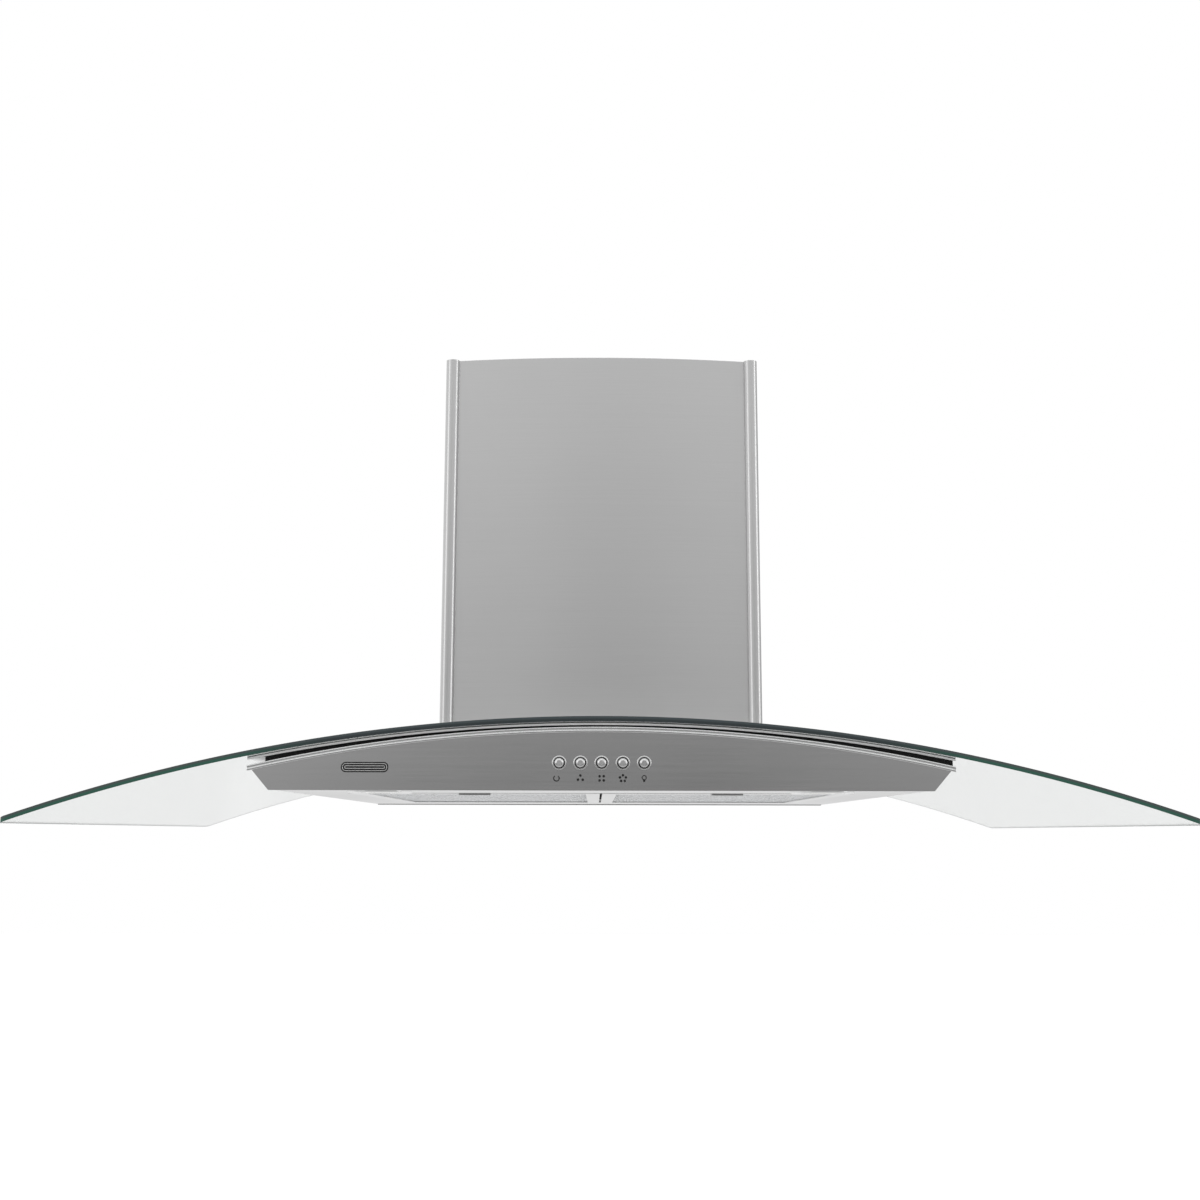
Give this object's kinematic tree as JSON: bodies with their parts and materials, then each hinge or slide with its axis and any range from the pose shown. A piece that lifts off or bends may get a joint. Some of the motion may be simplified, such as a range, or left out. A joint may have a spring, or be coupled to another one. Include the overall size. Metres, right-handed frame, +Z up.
{
  "type": "island range hood",
  "caption": "Ceiling-hung range hood with an arched glass canopy, a shallow brushed steel body with push buttons and swing-down filters, and a telescopic chimney.",
  "frame": {"origin": "centre of the ceiling plate's top face, between its four bolt holes", "axes": "+Z up to the ceiling, -Y towards the side with the controls, +X to the right of someone who faces the controls"},
  "size_m": [0.9, 0.6, 0.4148],
  "materials": {
    "canopy_glass": "clear tempered glass, dark green at its edges",
    "black_foam": "matt closed-cell foam",
    "black_rubber": "matt",
    "polished_steel": "polished",
    "canopy_steel": "satin, grain along X",
    "panel_steel": "brushed along X",
    "underside_steel": "brushed along X",
    "galvanised_steel": "zinc coated, faint spangle",
    "zinc_steel": "bright zinc plate",
    "frosted_lens": "frosted",
    "black_plastic": "fine spark texture",
    "white_plastic": "satin",
    "capacitor_can": "gloss",
    "cable_sheath": "satin PVC",
    "impeller_steel": "zinc coated",
    "motor_iron": "black lacquer",
    "collar_plastic": "fine texture",
    "chimney_steel": "brushed along X",
    "lamp_metal": "satin chrome",
    "filter_aluminium": "satin",
    "filter_mesh": "expanded mesh, bright",
    "latch_steel": "satin",
    "button_chrome": "polished"
  },
  "bodies": {
    "ceiling_mount": {"ceiling_plate": "galvanised_steel", "upper_posts": "galvanised_steel", "cover_hangers": "galvanised_steel", "extension_front": "chimney_steel", "extension_rear": "chimney_steel"},
    "hood": {"blower_case": "galvanised_steel", "blower_scroll": "galvanised_steel", "body_seals": "black_foam", "bottom_pan": "underside_steel", "button_bezels": "polished_steel", "cable_clip": "black_plastic", "cable_gland": "black_plastic", "capacitor": "capacitor_can", "chimney_front": "chimney_steel", "chimney_rear": "chimney_steel", "control_panel": "panel_steel", "cover_brackets": "galvanised_steel", "damper_pins": "zinc_steel", "end_panel_left": "panel_steel", "end_panel_right": "panel_steel", "filter_hinge_rod": "zinc_steel", "frame_bolts": "zinc_steel", "frame_rails": "galvanised_steel", "glass_bed_strips": "black_foam", "glass_canopy": "canopy_glass", "glass_screws": "polished_steel", "glass_washers": "black_rubber", "junction_box": "galvanised_steel", "junction_box_lid": "galvanised_steel", "lamp_housing_left": "lamp_metal", "lamp_housing_right": "lamp_metal", "lamp_lenses": "frosted_lens", "lower_posts": "galvanised_steel", "motor": "motor_iron", "motor_bracket": "galvanised_steel", "outlet_collar": "collar_plastic", "panel_trim_front": "polished_steel", "panel_trim_rear": "polished_steel", "plate_spacers": "galvanised_steel", "rear_panel": "panel_steel", "small_screws": "zinc_steel", "switch_block": "black_plastic", "switch_cable": "cable_sheath", "terminal_block": "white_plastic", "top_plate": "canopy_steel"},
    "left_filter": {"filter_frame_left": "filter_aluminium", "filter_mesh_left": "filter_mesh"},
    "right_filter": {"filter_frame_right": "filter_aluminium", "filter_mesh_right": "filter_mesh"},
    "left_latch": {"filter_latch_left": "latch_steel"},
    "right_latch": {"filter_latch_right": "latch_steel"},
    "fan_wheel": {"impeller": "impeller_steel", "motor_shaft": "zinc_steel"},
    "left_flap": {"damper_flap_left": "collar_plastic"},
    "right_flap": {"damper_flap_right": "collar_plastic"},
    "button_off": {"button_off": "button_chrome"},
    "button_low": {"button_low": "button_chrome"},
    "button_medium": {"button_medium": "button_chrome"},
    "button_high": {"button_high": "button_chrome"},
    "button_light": {"button_light": "button_chrome"}
  },
  "joints": [
    {"name": "hood_drop", "type": "slide", "parent": "ceiling_mount", "child": "hood", "axis": [0, 0, -1], "range_m": [0, 0.2]},
    {"name": "button_off_press", "type": "slide", "parent": "hood", "child": "button_off", "axis": [0, 1, 0], "range_m": [0, 0.0025], "stiffness_N_per_m": 800},
    {"name": "button_low_press", "type": "slide", "parent": "hood", "child": "button_low", "axis": [0, 1, 0], "range_m": [0, 0.0025], "stiffness_N_per_m": 800},
    {"name": "button_medium_press", "type": "slide", "parent": "hood", "child": "button_medium", "axis": [0, 1, 0], "range_m": [0, 0.0025], "stiffness_N_per_m": 800},
    {"name": "button_high_press", "type": "slide", "parent": "hood", "child": "button_high", "axis": [0, 1, 0], "range_m": [0, 0.0025], "stiffness_N_per_m": 800},
    {"name": "button_light_press", "type": "slide", "parent": "hood", "child": "button_light", "axis": [0, 1, 0], "range_m": [0, 0.0025], "stiffness_N_per_m": 800},
    {"name": "left_filter_drop", "type": "hinge", "parent": "hood", "child": "left_filter", "pos_m": [-0.106, 0.1775, -0.3851], "axis": [1, 0, 0], "range_deg": [0, 70]},
    {"name": "left_latch_pull", "type": "slide", "parent": "left_filter", "child": "left_latch", "axis": [0, 1, 0], "range_m": [0, 0.006], "stiffness_N_per_m": 300},
    {"name": "right_filter_drop", "type": "hinge", "parent": "hood", "child": "right_filter", "pos_m": [0.106, 0.1775, -0.3851], "axis": [1, 0, 0], "range_deg": [0, 70]},
    {"name": "right_latch_pull", "type": "slide", "parent": "right_filter", "child": "right_latch", "axis": [0, 1, 0], "range_m": [0, 0.006], "stiffness_N_per_m": 300},
    {"name": "fan_spin", "type": "hinge", "parent": "hood", "child": "fan_wheel", "pos_m": [0, 0, -0.248], "axis": [1, 0, 0], "continuous": true},
    {"name": "left_flap_open", "type": "hinge", "parent": "hood", "child": "left_flap", "pos_m": [-0.004, 0, -0.095], "axis": [0, 1, 0], "range_deg": [0, 80]},
    {"name": "right_flap_open", "type": "hinge", "parent": "hood", "child": "right_flap", "pos_m": [0.004, 0, -0.095], "axis": [0, -1, 0], "range_deg": [0, 80]}
  ]
}
